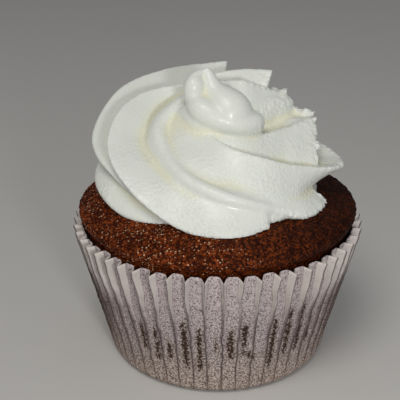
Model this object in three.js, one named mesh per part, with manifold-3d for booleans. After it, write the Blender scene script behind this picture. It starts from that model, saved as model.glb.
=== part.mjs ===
// A cupcake in three pieces: a pleated paper case, a domed cake and a piped swirl of cream.
// Millimetres, +Z up, origin at the middle of the underside of the case; -Y is the front.
import * as THREE from "three";
import { mergeVertices } from "three/addons/utils/BufferGeometryUtils.js";
import Module from "manifold-3d";

// --- paper case -------------------------------------------------------------------------
const CASE_BASE_RADIUS = 25.2; // flat underside out to the start of the rounded edge
const CASE_RIM_RADIUS = 33.3; // over the outer folds of the pleats
const CASE_HEIGHT = 32.1; // at the tops of the panels
const PLEATS = 53;
const PLEAT_PHASE = -92.2; // degrees: where the middle of one panel stands
const PLEAT_DEPTH = 2.3; // from the outer folds in to the panels at the rim; nothing at the base
const PLEAT_START = 1.6; // height where the pleats begin
const PLEAT_GROWTH = 0.8; // power of the height at which the pleats deepen
const RIM_DIP = 0.65; // how far the rim drops at each outer fold
const PAPER = 0.5; // sheet thickness
const CASE_LEVELS = [0, 0.45, PLEAT_START, 6, 19, CASE_HEIGHT]; // rows of the wall, from the base up
const BASE_ROUNDING = [1.3, 0.35, 0, 0, 0, 0]; // how far each row is drawn in below the cone
const INNER_LEVELS = [PAPER, 0.85, 1.7]; // the lowest rows again, on the inner side of the sheet
// Half widths of the panels, row by row, and of the outer folds, as shares of one pleat.
const PANEL = [0.36, 0.36, 0.36, 0.36, 0.36, 0.29];
const FOLD = 0.04;
// The same on the inner side of the sheet.
const INNER_PANEL = 0.42;
const INNER_FOLD = 0.02;

// --- cake -------------------------------------------------------------------------------
const GAP = 0.3; // air between neighbouring pieces
const CAKE_SLACK = 0.25; // more air beside the panels
// The cake's wall inside the case: height, and how far it is drawn in.
const WALL = [[PAPER + GAP, 1.4], [2.2, 0.3], [6, 0], [19, 0]];
// Radius and height of the dome, from where it leaves the case up to the crown.
const DOME = {
  r: [29.5, 30, 31.2, 30.9, 26.8, 19, 10, 0],
  z: [28.8, 32, 34, 35.6, 37.1, 38.9, 40.3, 40.8],
};
const DOME_ROWS = 11;
const CAKE_SIDES = 60;

// --- cream ------------------------------------------------------------------------------
// Stations are [turn in degrees, radius, height], spread evenly along a curve.
// The rope was piped round the middle; this is its own centre, and its ribs stand on it.
const ROPE = [
  [-10, 13, 43], [30, 12, 45], [80, 13, 49], [130, 14, 49],
  [185, 15, 45.5], [240, 15.5, 42.5], [295, 15.5, 41.5], [350, 14, 41.5],
];
const ROPE_RADIUS = 4.6;
const ROPE_SIDES = 12;
const ROPE_STEPS = 28;
// Each rib: stations of its crest, the half width of its foot and the radius of its crest
// from start to end, and how far its flanks are hollowed. A rib that leaves the rope has
// stations of its own root.
const RIBS = [
  { // highest outer rib, round the back and the left
    foot: [6.5, 6.5, 6, 2.5], edge: [0.8, 0.4], hollow: 0.14,
    crest: [
      [83, 22.8, 61.8], [100, 23, 61], [125, 24.5, 60], [150, 27, 57],
      [175, 28.4, 49.6], [200, 25, 45.5], [225, 22, 41],
    ],
  },
  { // lowest rib, lying on the cake
    foot: [6, 6, 5, 2.5], edge: [0.9, 0.9], hollow: 0.05,
    crest: [
      [-20, 19, 39], [25, 22, 40], [70, 25, 41.5], [115, 26.5, 43],
      [150, 27.2, 44], [185, 27.6, 41.3], [215, 25.6, 38.2], [240, 22.5, 37.4],
    ],
  },
  { // short rib between those two, at the back
    foot: [5, 5], edge: [0.7, 0.7], hollow: 0.05,
    crest: [[48, 19, 51], [75, 23, 53.5], [102, 25, 53.5], [130, 26, 51], [158, 24.5, 48]],
  },
  { // broad rib that drops from behind the peak to the front edge
    foot: [5.6, 5.6], edge: [0.9, 0.4, 0.4, 0.5], hollow: -0.04,
    crest: [
      [48, 19.8, 61.7], [73, 14.6, 62], [100, 12.8, 61], [125, 12.6, 59.8], [150, 17.5, 58.8],
      [175, 21.5, 56.7], [200, 25.2, 50.8], [225, 25.3, 44.6], [250, 24.5, 38.9],
      [275, 25.4, 37.4], [297, 23.7, 37.7],
    ],
  },
  { // rounded rib, ending in a wide fan at the front right
    foot: [5.2, 5.2, 5, 4.4], edge: [1.1, 1.1, 1, 0.7], hollow: 0,
    crest: [
      [70, 6.7, 61.3], [100, 6.7, 60.3], [130, 6.7, 59.3], [160, 8.8, 58], [190, 12.8, 55.2],
      [220, 14.2, 51.2], [250, 18, 47.8], [278, 21.6, 44.6],
      [303, 22.2, 40.3], [320, 25, 37.9], [343, 25.2, 37.7],
    ],
  },
  { // smooth rib in front of the peak, drawn out to a point at the right
    foot: [6, 6, 6, 5, 3.4, 2.5], edge: [0.4, 0.4, 0.5, 0.7], hollow: 0.06,
    crest: [
      [165, 7.7, 58], [193, 6.1, 56.1], [221, 5.7, 54.9], [249, 6.6, 53.7], [277, 9.9, 52.5],
      [305, 15.4, 50.5], [333, 20.3, 47.2], [361, 28.6, 43.9], [390, 25.3, 46],
    ],
    root: [
      [165, 13.5, 46.8], [210, 15, 44], [255, 15.7, 42.2],
      [300, 16.8, 41.8], [345, 19.5, 41.5], [390, 18, 43],
    ],
  },
  { // right lobe, front half
    foot: [7, 7], edge: [0.5, 1.2], hollow: 0,
    crest: [
      [290, 7.6, 51], [318, 8.4, 51.6], [345, 10.4, 52.2],
      [363, 14.2, 52.3], [373, 19, 52.6], [379, 23.6, 52.8],
    ],
    root: [[290, 10, 43], [310, 10, 43], [330, 11, 42], [345, 14.5, 41.5], [355, 18.5, 41.5]],
  },
  { // right lobe, back half
    foot: [5, 5], edge: [0.8, 1.2], hollow: 0.05,
    crest: [[60, 14, 53], [40, 18.5, 53.6], [30, 22.3, 53.7], [23, 25, 53.2]],
    root: [[55, 12, 47], [35, 14, 46], [24, 17, 43], [17, 20, 42]],
  },
  { // upper right rib end
    foot: [5, 5], edge: [0.6, 1.3], hollow: 0.05,
    crest: [[85, 7, 61.3], [53, 10, 61.2], [44, 14.3, 59.3], [40, 18.6, 57.6], [37.5, 21.3, 58.3]],
    root: [[60, 6, 52], [42, 8, 51], [38, 10, 50.5], [37, 12, 50.5], [36, 14, 50.5]],
  },
  { // sliver behind it
    foot: [5, 5], edge: [0.6, 0.8], hollow: 0.05,
    crest: [[95, 15, 57], [70, 17, 57.4], [54, 20, 57.4], [45, 22.3, 56.6]],
    root: [[85, 13, 50], [65, 13, 50], [48, 14, 48], [40, 16, 47]],
  },
];
// A thinner strand that rounds out the valley between the broad rib and the rounded one.
const VALLEY_STRAND = [
  [165, 13.3, 50.5], [195, 14.8, 47.6], [220, 15.5, 44.6],
  [245, 16.4, 42.4], [270, 17.6, 40.8], [295, 18, 39.5],
];
const VALLEY_STRAND_RADIUS = 3.4;
const RIB_STEP = 3.2; // millimetres between two sections of a rib, about
const LEAST_RIB_STEPS = 4;
const LENGTH_SAMPLES = 20;
// A rib's section: how far out its waist is as a share of the reach, then the half widths of
// its waist and foot and the depth of its foot as shares of the foot given above.
const WAIST_OUT = 0.45;
const WAIST_WIDTH = 0.55;
const FOOT_WIDTH = 0.8;
const FOOT_DEPTH = 0.6;
// A bed of cream under the rope: radius and height.
const BED = { r: [22.5, 22.5, 20, 12, 0], z: [30, 39, 42.5, 48.8, 50.5] };
const BED_SIDES = 36;
// Round lumps, pushed up between the ribs or left by the nozzle: x, y, height and radius.
const LOBES = [
  [ // tail drawn up to the peak
    [2, 1, 43, 6.5], [2.5, 0.4, 49, 6], [2.4, -1, 53.6, 6], [2, -1.9, 57.4, 5.1],
    [-0.8, -0.4, 61.4, 2.5], [-1.9, 0.4, 64.4, 1.2], [-2.5, 0.8, 66, 0.6],
  ],
  [ // fold round the front of its foot
    [-5.2, -1.6, 59.6, 2.1], [-3.4, -3.8, 57.9, 2.7], [0.4, -4.8, 56.1, 2.8],
    [4.4, -4.3, 54.8, 2.9], [7.4, -2.4, 54.3, 2.7], [8.2, 0.4, 54.2, 2],
  ],
  [ // curl beside the peak
    [-5.8, -2.2, 58.8, 0.9], [-5.6, -1.8, 60.5, 1.8], [-5.2, -1.2, 62.7, 2.2],
    [-4.4, -0.3, 64.7, 1.7], [-2.9, 0.5, 66, 0.7],
  ],
  [ // filling of the right lobe
    [8, 3, 46, 5], [14, 5, 47, 4.6], [18.5, 7.2, 48.4, 4.2], [21.2, 8.2, 48.6, 2.6],
  ],
  [ // torn lump above it
    [12, 8, 48, 4.2], [15.2, 10.2, 49.6, 4], [17.2, 11.8, 50.6, 2.8],
  ],
  [ // filling under the fold
    [-6.4, 1.2, 56, 2.5], [-4, -2.4, 54.8, 3], [-0.4, -4.6, 51.6, 3], [4, -4.8, 50, 3.2],
    [8.4, -3, 49.2, 3.2],
  ],
  [ // cheek of the upper right rib end
    [3, 3.5, 53.6, 3.4], [8, 7, 53.4, 3.9], [12, 9.5, 53.6, 3.7], [15, 11.5, 54.2, 3],
    [16.8, 12.8, 55.2, 1.7],
  ],
];
const LOBE_SIDES = 14;
const LOBE_STEPS = 10;
// The body that cuts the cream's underside to the dome reaches this far out and down.
const CUTTER = { radius: 40, bottom: 10 };

const DEG = Math.PI / 180;
const AHEAD = 0.02; // half the stretch of a curve that gives its direction

// Catmull-Rom value through evenly spaced stations, t from 0 to 1.
function along(list, t) {
  const x = Math.min(Math.max(t, 0), 1) * (list.length - 1);
  const i = Math.min(Math.floor(x), list.length - 2);
  const f = x - i;
  const at = (k) => {
    if (k < 0) return 2 * list[0] - list[1];
    if (k > list.length - 1) return 2 * list[list.length - 1] - list[list.length - 2];
    return list[k];
  };
  const [a, b, c, d] = [at(i - 1), at(i), at(i + 1), at(i + 2)];
  return b + 0.5 * f * (c - a + f * (2 * a - 5 * b + 4 * c - d + f * (3 * (b - c) + d - a)));
}

const polar = (turn, r, z) =>
  new THREE.Vector3(r * Math.cos(turn * DEG), r * Math.sin(turn * DEG), z);

// The values, or the point, of a list of stations at t.
const values = (list, t) => list[0].map((_, k) => along(list.map((s) => s[k]), t));
const station = (list, t) => polar(...values(list, t));

const wasm = await Module();
wasm.setup();

function solid(geometry) {
  const g = geometry.clone();
  g.deleteAttribute("normal");
  g.deleteAttribute("uv");
  const merged = mergeVertices(g, 1e-4);
  return new wasm.Manifold(
    new wasm.Mesh({
      numProp: 3,
      vertProperties: new Float32Array(merged.attributes.position.array),
      triVerts: new Uint32Array(merged.index.array),
    }),
  );
}

function geometryOf(manifold) {
  const mesh = manifold.getMesh();
  const g = new THREE.BufferGeometry();
  g.setAttribute("position", new THREE.BufferAttribute(new Float32Array(mesh.vertProperties), 3));
  g.setIndex(new THREE.BufferAttribute(new Uint32Array(mesh.triVerts), 1));
  return g;
}

// A closed body through a list of rings with the same number of points each. The first and
// the last ring are closed by fans from their middles.
function skin(rings) {
  const n = rings[0].length;
  const verts = [];
  for (const ring of rings) for (const p of ring) verts.push(p.x, p.y, p.z);
  const index = [];
  for (let j = 0; j + 1 < rings.length; j++) {
    for (let i = 0; i < n; i++) {
      const a = j * n + i;
      const b = j * n + ((i + 1) % n);
      index.push(a, b, a + n, b, b + n, a + n);
    }
  }
  const cap = (j, flip) => {
    const c = new THREE.Vector3();
    for (const p of rings[j]) c.addScaledVector(p, 1 / n);
    const k = verts.length / 3;
    verts.push(c.x, c.y, c.z);
    for (let i = 0; i < n; i++) {
      const a = j * n + i;
      const b = j * n + ((i + 1) % n);
      if (flip) index.push(k, b, a);
      else index.push(k, a, b);
    }
  };
  cap(0, true);
  cap(rings.length - 1, false);
  const g = new THREE.BufferGeometry();
  g.setAttribute("position", new THREE.BufferAttribute(new Float32Array(verts), 3));
  g.setIndex(index);
  return g;
}

// --- paper case -------------------------------------------------------------------------
const coneRadius = (z) => CASE_BASE_RADIUS + ((CASE_RIM_RADIUS - CASE_BASE_RADIUS) * z) / CASE_HEIGHT;
const pleatDepth = (z) =>
  PLEAT_DEPTH * Math.max((z - PLEAT_START) / (CASE_HEIGHT - PLEAT_START), 0) ** PLEAT_GROWTH;

// One row of the wall. Broad panels stand in, and narrow folds stand out between them.
function caseRing(row, inner) {
  const [panel, fold] = inner ? [INNER_PANEL, INNER_FOLD] : [PANEL[row], FOLD];
  const dip = row === CASE_LEVELS.length - 1 ? RIM_DIP : 0;
  const ring = [];
  for (let k = 0; k < PLEATS; k++) {
    for (const [place, out] of [[-panel, 0], [panel, 0], [0.5 - fold, 1], [0.5 + fold, 1]]) {
      const z = CASE_LEVELS[row] - dip * out;
      const depth = pleatDepth(z);
      const paper = inner ? PAPER : 0;
      const r = coneRadius(z) - BASE_ROUNDING[row] - depth - paper;
      const turn = PLEAT_PHASE + ((k + place) * 360) / PLEATS;
      ring.push(polar(turn, r + Math.max(depth - paper, 0) * out, z));
    }
  }
  return ring;
}

function makeCase() {
  const outer = CASE_LEVELS.map((_, row) => caseRing(row, false));
  const inner = CASE_LEVELS.map((_, row) => caseRing(row, true));
  INNER_LEVELS.forEach((level, row) => inner[row].forEach((p) => p.setZ(level)));
  return skin([...outer, ...inner.reverse()]);
}

// --- cake -------------------------------------------------------------------------------
function domeProfile(lift) {
  const points = [];
  for (let i = 0; i <= DOME_ROWS; i++) {
    const t = i / DOME_ROWS;
    points.push(new THREE.Vector2(i === DOME_ROWS ? 0 : along(DOME.r, t), along(DOME.z, t) + lift));
  }
  return points;
}

function lathe(profile, sides) {
  const g = new THREE.LatheGeometry(profile, sides);
  g.rotateX(90 * DEG);
  return g;
}

function makeCake() {
  const wall = (z) => coneRadius(z) - pleatDepth(z) - PAPER - GAP - CAKE_SLACK;
  const side = WALL.map(([z, inwards]) => new THREE.Vector2(wall(z) - inwards, z));
  const middle = new THREE.Vector2(0, WALL[0][0]);
  return lathe([middle, ...side, ...domeProfile(0)], CAKE_SIDES);
}

// --- cream ------------------------------------------------------------------------------
// The point of the rope's centre that lies at a turn round the middle.
function ropeAt(turn) {
  const turns = ROPE.map((s) => s[0]);
  const last = turns.length - 1;
  const wanted = turn > turns[last] ? turn - 360 : turn;
  const i = Math.min(Math.max(turns.findLastIndex((v) => v <= wanted), 0), last - 1);
  return station(ROPE, (i + (wanted - turns[i]) / (turns[i + 1] - turns[i])) / last);
}

// One rib: a wedge that follows its crest, with its foot on the root curve.
function makeRib(rib) {
  const crestAt = (t) => station(rib.crest, t);
  const rootAt = (t) => (rib.root ? station(rib.root, t) : ropeAt(values(rib.crest, t)[0]));
  let length = 0;
  for (let i = 0; i < LENGTH_SAMPLES; i++) {
    length += crestAt((i + 1) / LENGTH_SAMPLES).distanceTo(crestAt(i / LENGTH_SAMPLES));
  }
  const steps = Math.max(LEAST_RIB_STEPS, Math.round(length / RIB_STEP));
  const rings = [];
  for (let i = 0; i <= steps; i++) {
    const t = i / steps;
    const root = rootAt(t);
    const out = crestAt(t).sub(root);
    const reach = out.length();
    out.normalize();
    const ahead = crestAt(Math.min(t + AHEAD, 1)).sub(crestAt(Math.max(t - AHEAD, 0)));
    const side = ahead.cross(out).normalize();
    const at = (u, v) => root.clone().addScaledVector(out, u).addScaledVector(side, v);
    const foot = along(rib.foot, t);
    const waist = foot * (WAIST_WIDTH - rib.hollow);
    const edge = along(rib.edge, t);
    rings.push([
      at(reach, 0),
      at(reach - edge, edge),
      at(reach * WAIST_OUT, waist),
      at(0, foot * FOOT_WIDTH),
      at(-foot * FOOT_DEPTH, 0),
      at(0, -foot * FOOT_WIDTH),
      at(reach * WAIST_OUT, -waist),
      at(reach - edge, -edge),
    ]);
  }
  return skin(rings);
}

// A round body along a path, as wide as the radius says at each place. The path must not
// run along level, which its rings are turned from.
function makeRound(pathAt, radiusAt, level, sides, steps) {
  const rings = [];
  for (let i = 0; i <= steps; i++) {
    const t = i / steps;
    const ahead = pathAt(Math.min(t + AHEAD, 1)).sub(pathAt(Math.max(t - AHEAD, 0))).normalize();
    const a = level.clone().cross(ahead).normalize();
    const b = ahead.clone().cross(a);
    const ring = [];
    for (let k = 0; k < sides; k++) {
      const turn = (k * 360 * DEG) / sides;
      const p = pathAt(t).addScaledVector(a, radiusAt(t) * Math.cos(turn));
      ring.push(p.addScaledVector(b, radiusAt(t) * Math.sin(turn)));
    }
    rings.push(ring);
  }
  return skin(rings);
}

function makeCream() {
  const bed = BED.r.map((r, i) => new THREE.Vector2(r, BED.z[i]));
  let body = solid(lathe([new THREE.Vector2(0, BED.z[0]), ...bed], BED_SIDES));
  const [up, back] = [new THREE.Vector3(0, 0, 1), new THREE.Vector3(0, 1, 0)];
  for (const [strand, radius] of [[ROPE, ROPE_RADIUS], [VALLEY_STRAND, VALLEY_STRAND_RADIUS]]) {
    const path = (t) => station(strand, t);
    body = body.add(solid(makeRound(path, () => radius, up, ROPE_SIDES, ROPE_STEPS)));
  }
  for (const lobe of LOBES) {
    const path = (t) => new THREE.Vector3(...values(lobe, t).slice(0, 3));
    const radius = (t) => values(lobe, t)[3];
    body = body.add(solid(makeRound(path, radius, back, LOBE_SIDES, LOBE_STEPS)));
  }
  for (const rib of RIBS) body = body.add(solid(makeRib(rib)));
  const cutter = [
    new THREE.Vector2(0, CUTTER.bottom),
    new THREE.Vector2(CUTTER.radius, CUTTER.bottom),
    new THREE.Vector2(CUTTER.radius, DOME.z[0]),
    ...domeProfile(GAP),
  ];
  const seated = body.subtract(solid(lathe(cutter, CAKE_SIDES)));
  // Pockets of air between the ribs are filled: only the outermost skin is kept.
  const shells = seated.decompose().sort((p, q) => q.volume() - p.volume());
  return geometryOf(shells[0]);
}

// --- the part ---------------------------------------------------------------------------
const looks = {
  paper_case: { color: 0xd2cdcb, roughness: 0.85, metalness: 0 },
  cake: { color: 0x4a2212, roughness: 0.95, metalness: 0 },
  cream_swirl: { color: 0xf1f0e4, roughness: 0.45, metalness: 0 },
};

const part = new THREE.Group();
part.name = "cupcake";
for (const [name, geometry] of [
  ["paper_case", makeCase()],
  ["cake", makeCake()],
  ["cream_swirl", makeCream()],
]) {
  const mesh = new THREE.Mesh(geometry, new THREE.MeshStandardMaterial(looks[name]));
  mesh.name = name;
  part.add(mesh);
}

export default part;
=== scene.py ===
"""A cupcake in its pleated paper case, with a piped swirl of cream, laid out as a Blender add-on.

Metres, +Z up, -Y to the front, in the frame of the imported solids. Station lists are in millimetres.
"""

import math
from functools import partial

import bmesh
import bpy
import numpy as np
from bpy.props import FloatProperty, FloatVectorProperty, IntProperty, PointerProperty
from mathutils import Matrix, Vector, kdtree, noise


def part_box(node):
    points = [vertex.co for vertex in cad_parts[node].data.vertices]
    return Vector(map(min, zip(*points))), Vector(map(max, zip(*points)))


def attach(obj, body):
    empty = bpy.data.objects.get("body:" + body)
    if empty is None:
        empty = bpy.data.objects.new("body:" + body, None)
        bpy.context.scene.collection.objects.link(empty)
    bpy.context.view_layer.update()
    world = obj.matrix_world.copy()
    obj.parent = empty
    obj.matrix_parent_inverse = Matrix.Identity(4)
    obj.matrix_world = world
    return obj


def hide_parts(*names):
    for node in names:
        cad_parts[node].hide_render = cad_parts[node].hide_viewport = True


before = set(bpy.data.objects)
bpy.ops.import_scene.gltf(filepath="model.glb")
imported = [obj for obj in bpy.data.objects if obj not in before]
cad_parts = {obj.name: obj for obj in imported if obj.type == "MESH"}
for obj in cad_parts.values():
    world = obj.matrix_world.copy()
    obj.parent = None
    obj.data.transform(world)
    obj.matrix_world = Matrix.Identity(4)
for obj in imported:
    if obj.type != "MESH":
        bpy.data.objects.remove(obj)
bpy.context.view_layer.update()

bl_info = {
    "name": "Cupcake in a paper case",
    "version": (1, 0, 0),
    "blender": (4, 5, 0),
    "location": "3D View > Sidebar > Cupcake",
    "description": "Builds the paper case, the sponge and the piped cream of one cupcake",
    "category": "Add Mesh",
}

MM = 0.001
CASE_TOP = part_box("paper_case")[1]

# --- stations, in millimetres -----------------------------------------------------------
# Turn in degrees, radius and height, evenly spread along each curve. The rope is piped
# round the middle, and the ribs stand on its centre line.
ROPE = [
    (-10, 13, 43), (30, 12, 45), (80, 13, 49), (130, 14, 49),
    (185, 15, 45.5), (240, 15.5, 42.5), (295, 15.5, 41.5), (350, 14, 41.5),
]
ROPE_RADIUS = 4.6
VALLEY_STRAND = [
    (165, 13.3, 50.5), (195, 14.8, 47.6), (220, 15.5, 44.6),
    (245, 16.4, 42.4), (270, 17.6, 40.8), (295, 18, 39.5),
]
VALLEY_STRAND_RADIUS = 3.4
# Each rib: stations of its crest and, if it leaves the rope, of its own root; the half
# width of its foot, the radius of its crest, how far its flanks are hollowed, and how
# ragged its first and its last end are, where the nozzle tore away.
RIBS = [
    dict(  # highest outer rib, round the back and the left
        foot=(6.5, 6.5, 6, 2.5), edge=(0.8, 0.4), hollow=0.14, ragged=(1, 0),
        crest=[
            (83, 22.8, 61.8), (100, 23, 61), (125, 24.5, 60), (150, 27, 57),
            (175, 28.4, 49.6), (200, 25, 45.5), (225, 22, 41),
        ],
    ),
    dict(  # lowest rib, lying on the cake
        foot=(6, 6, 5, 2.5), edge=(0.9, 0.9), hollow=0.05, ragged=(0.6, 0),
        crest=[
            (-20, 19, 39), (25, 22, 40), (70, 25, 41.5), (115, 26.5, 43),
            (150, 27.2, 44), (185, 27.6, 41.3), (215, 25.6, 38.2), (240, 22.5, 37.4),
        ],
    ),
    dict(  # short rib between those two, at the back
        foot=(5, 5), edge=(0.7, 0.7), hollow=0.05, ragged=(0.6, 0),
        crest=[(48, 19, 51), (75, 23, 53.5), (102, 25, 53.5), (130, 26, 51), (158, 24.5, 48)],
    ),
    dict(  # broad rib that drops from behind the peak to the front edge
        foot=(5.6, 5.6), edge=(0.9, 0.4, 0.4, 0.5), hollow=-0.04, ragged=(1, 0.5),
        crest=[
            (48, 19.8, 61.7), (73, 14.6, 62), (100, 12.8, 61), (125, 12.6, 59.8),
            (150, 17.5, 58.8), (175, 21.5, 56.7), (200, 25.2, 50.8), (225, 25.3, 44.6),
            (250, 24.5, 38.9), (275, 25.4, 37.4), (297, 23.7, 37.7),
        ],
    ),
    dict(  # rounded rib, ending in a wide fan at the front right
        foot=(5.2, 5.2, 5, 4.4), edge=(1.5, 1.8, 1.5, 0.7), hollow=0, ragged=(0, 1),
        crest=[
            (70, 6.7, 61.3), (100, 6.7, 60.3), (130, 6.7, 59.3), (160, 8.8, 58),
            (190, 12.8, 55.2), (220, 14.2, 51.2), (250, 18, 47.8), (278, 21.6, 44.6),
            (303, 22.2, 40.3), (320, 25, 37.9), (343, 25.2, 37.7),
        ],
    ),
    dict(  # smooth rib in front of the peak, drawn out to a point at the right
        foot=(6, 6, 6, 5, 3.4, 2.5), edge=(0.4, 0.4, 0.5, 0.7), hollow=0.06, ragged=(0, 1),
        crest=[
            (165, 7.7, 58), (193, 6.1, 56.1), (221, 5.7, 54.9), (249, 6.6, 53.7),
            (277, 9.9, 52.5), (305, 15.4, 50.5), (333, 20.3, 47.2), (361, 28.6, 43.9),
            (390, 25.3, 46),
        ],
        root=[
            (165, 13.5, 46.8), (210, 15, 44), (255, 15.7, 42.2),
            (300, 16.8, 41.8), (345, 19.5, 41.5), (390, 18, 43),
        ],
    ),
    dict(  # right lobe, front half
        foot=(7, 7), edge=(0.5, 1.2), hollow=0, ragged=(0, 1),
        crest=[
            (290, 7.6, 51), (318, 8.4, 51.6), (345, 10.4, 52.2), (363, 14.2, 52.3),
            (373, 19, 52.6), (379, 23.6, 52.8),
        ],
        root=[(290, 10, 43), (310, 10, 43), (330, 11, 42), (345, 14.5, 41.5), (355, 18.5, 41.5)],
    ),
    dict(  # right lobe, back half
        foot=(5, 5), edge=(0.8, 1.2), hollow=0.05, ragged=(0, 1),
        crest=[(60, 14, 53), (40, 18.5, 53.6), (30, 22.3, 53.7), (23, 25, 53.2)],
        root=[(55, 12, 47), (35, 14, 46), (24, 17, 43), (17, 20, 42)],
    ),
    dict(  # upper right rib end
        foot=(5, 5), edge=(0.6, 1.3), hollow=0.05, ragged=(0, 1),
        crest=[(85, 7, 61.3), (53, 10, 61.2), (44, 14.3, 59.3), (40, 18.6, 57.6), (37.5, 21.3, 58.3)],
        root=[(60, 6, 52), (42, 8, 51), (38, 10, 50.5), (37, 12, 50.5), (36, 14, 50.5)],
    ),
    dict(  # sliver behind it
        foot=(5, 5), edge=(0.6, 0.8), hollow=0.05, ragged=(0, 1),
        crest=[(95, 15, 57), (70, 17, 57.4), (54, 20, 57.4), (45, 22.3, 56.6)],
        root=[(85, 13, 50), (65, 13, 50), (48, 14, 48), (40, 16, 47)],
    ),
]
# A bed of cream under the rope: radius and height.
BED = [(22.5, 30), (22.5, 39), (20, 42.5), (12, 48.8)]
# Round lumps: x, y, height and radius.
LOBES = [
    [  # tail drawn up to the peak
        (2, 1, 43, 6.5), (2.5, 0.4, 49, 6), (2.4, -1, 53.6, 6), (2, -1.9, 57.4, 5.1),
        (-0.8, -0.4, 61.4, 2.5), (-1.9, 0.4, 64.4, 1.2), (-2.5, 0.8, 66, 0.6),
    ],
    [  # fold round the front of its foot
        (-5.2, -1.6, 59.6, 2.1), (-3.4, -3.8, 57.9, 2.7), (0.4, -4.8, 56.1, 2.8),
        (4.4, -4.3, 54.8, 2.9), (7.4, -2.4, 54.3, 2.7), (8.2, 0.4, 54.2, 2),
    ],
    [  # curl beside the peak
        (-5.8, -2.2, 58.8, 0.9), (-5.6, -1.8, 60.5, 1.8), (-5.2, -1.2, 62.7, 2.2),
        (-4.7, -0.3, 64.2, 1.4), (-3.3, 0.5, 65.2, 0.6),
    ],
    [  # filling of the right lobe
        (8, 3, 46, 5), (14, 5, 47, 4.6), (18.5, 7.2, 48.4, 4.2), (21.2, 8.2, 48.6, 2.6),
    ],
    [  # torn lump above it
        (12, 8, 48, 4.2), (15.2, 10.2, 49.6, 4), (17.2, 11.8, 50.6, 2.8),
    ],
    [  # filling under the fold
        (-6.4, 1.2, 56, 2.5), (-4, -2.4, 54.8, 3), (-0.4, -4.6, 51.6, 3), (4, -4.8, 50, 3.2),
        (8.4, -3, 49.2, 3.2),
    ],
    [  # cheek of the upper right rib end
        (3, 3.5, 53.6, 3.4), (8, 7, 53.4, 3.9), (12, 9.5, 53.6, 3.7), (15, 11.5, 54.2, 3),
        (16.8, 12.8, 55.2, 1.7),
    ],
]
# The dome of the cake: radius and height, from the case's rim to the crown.
DOME = [
    (29.5, 28.8), (30, 32), (31.2, 34), (30.9, 35.6),
    (26.8, 37.1), (19, 38.9), (10, 40.3), (0, 40.8),
]


def linear(code):
    """An sRGB hex colour as linear red, green, blue and alpha."""
    shares = [int(code[i : i + 2], 16) / 255 for i in (1, 3, 5)]
    return (*[s / 12.92 if s <= 0.04045 else ((s + 0.055) / 1.055) ** 2.4 for s in shares], 1.0)


def per(size_mm):
    """The scale of a pattern whose features are size_mm across, on object coordinates in metres."""
    return 1 / (size_mm * MM)


def colour(code, name, description):
    """A colour that the user can change, from its sRGB hex code."""
    return FloatVectorProperty(
        name=name, description=description, subtype="COLOR", size=4, min=0, max=1, default=linear(code)
    )


def length(size_mm, name, description):
    """A length that the user can change, from its size in millimetres."""
    return FloatProperty(
        name=name, description=description, default=size_mm * MM, unit="LENGTH", precision=5
    )


def power(watts, name, description):
    """A light's power that the user can change."""
    return FloatProperty(name=name, description=description, default=watts, unit="POWER")


def count(number, name, description, least=0):
    """A whole number that the user can change."""
    return IntProperty(name=name, description=description, default=number, min=least)


# --- settings ---------------------------------------------------------------------------
class PaperCaseSettings(bpy.types.PropertyGroup):
    """Sizes and colours of the paper case"""

    base_radius: length(25.2, "Base radius", "Underside out to the rounded edge")
    rim_radius: length(33.3, "Rim radius", "Over the outer folds, if they reached the full height")
    height: length(CASE_TOP.z / MM, "Height", "At the tops of the panels")
    base_rounding: length(1.3, "Edge rounding", "How far the underside is drawn in")
    pleats: count(53, "Pleats", "Pleats round the case", least=3)
    pleat_depth: length(2.3, "Pleat depth", "From the outer folds in to the panels at the rim")
    rim_dip: length(0.65, "Rim dip", "How far the rim drops at an outer fold")
    thickness: length(0.12, "Paper thickness", "Thicker than real paper, so that the edge shows")
    seed: count(4, "Seed", "Unevenness of the pleats")
    paper: colour("#c4b6b8", "Paper", "Clean greaseproof paper")
    flank: colour("#d8cfca", "Pleat sides", "Paper that stands clear of the sponge")
    toasted: colour("#b5a08f", "Toasted paper", "Paper near the base, browned in the oven")
    # Also painted as the thin line of shade, partly grease, along the creases and fold tips.
    speck: colour("#4c3a37", "Speck", "Crumbs that show through the paper")
    stain: colour("#341804", "Stain", "Fat and cocoa soaked into the pleats")


class SpongeSettings(bpy.types.PropertyGroup):
    """Sizes and colours of the sponge and its loose grains"""

    crumb_relief: length(0.22, "Crumb relief", "Height of the open crumb")
    loose_crumbs: count(5200, "Loose crumbs", "Grains on the crust, if it were flat")
    grain: length(0.17, "Grain size", "Mean radius of a loose grain")
    seed: count(11, "Seed", "Places of the grains")
    crust: colour("#431603", "Crust", "Baked cocoa crust")
    crumb: colour("#a04a1a", "Crumb", "Lighter open crumb")
    # Also the colour of the painted shade on the darker side of the crust.
    pores_and_shade: colour("#0e0301", "Pores", "Pores and moist dark places")
    # Painted highlights: bright specks that stand in for light caught by moist grains.
    painted_glint: colour("#f2c39a", "Glint", "Sugar and moist grains that catch the light")


class CreamSettings(bpy.types.PropertyGroup):
    """Sizes and colours of the piped cream"""

    voxel: length(0.35, "Voxel", "Grid on which the strands are fused")
    fill: count(7, "Valley softness", "Rounds of filling in the valleys")
    tear: length(0.3, "Tear", "Depth of the streaks at torn rib ends")
    seed: count(7, "Seed", "Streaks and unevenness")
    crest: colour("#f0f3eb", "Crests", "Whipped cream in the light")
    # Tint of the painted light in the valleys, for light bounced and scattered there.
    valley: colour("#f1f0da", "Valleys", "Warmer cream in the valleys")


class StageSettings(bpy.types.PropertyGroup):
    """Floor and lights"""

    floor: colour("#d3d1ce", "Floor", "Plain pale floor and backdrop")
    key: power(1.22, "Key light", "Power of the large soft light")
    front: power(0.12, "Front light", "Power of the small light by the camera")
    fill: FloatProperty(
        name="Fill light", description="Strength of the light from all sides", default=0.22,
        subtype="FACTOR", min=0, max=1,
    )


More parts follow.
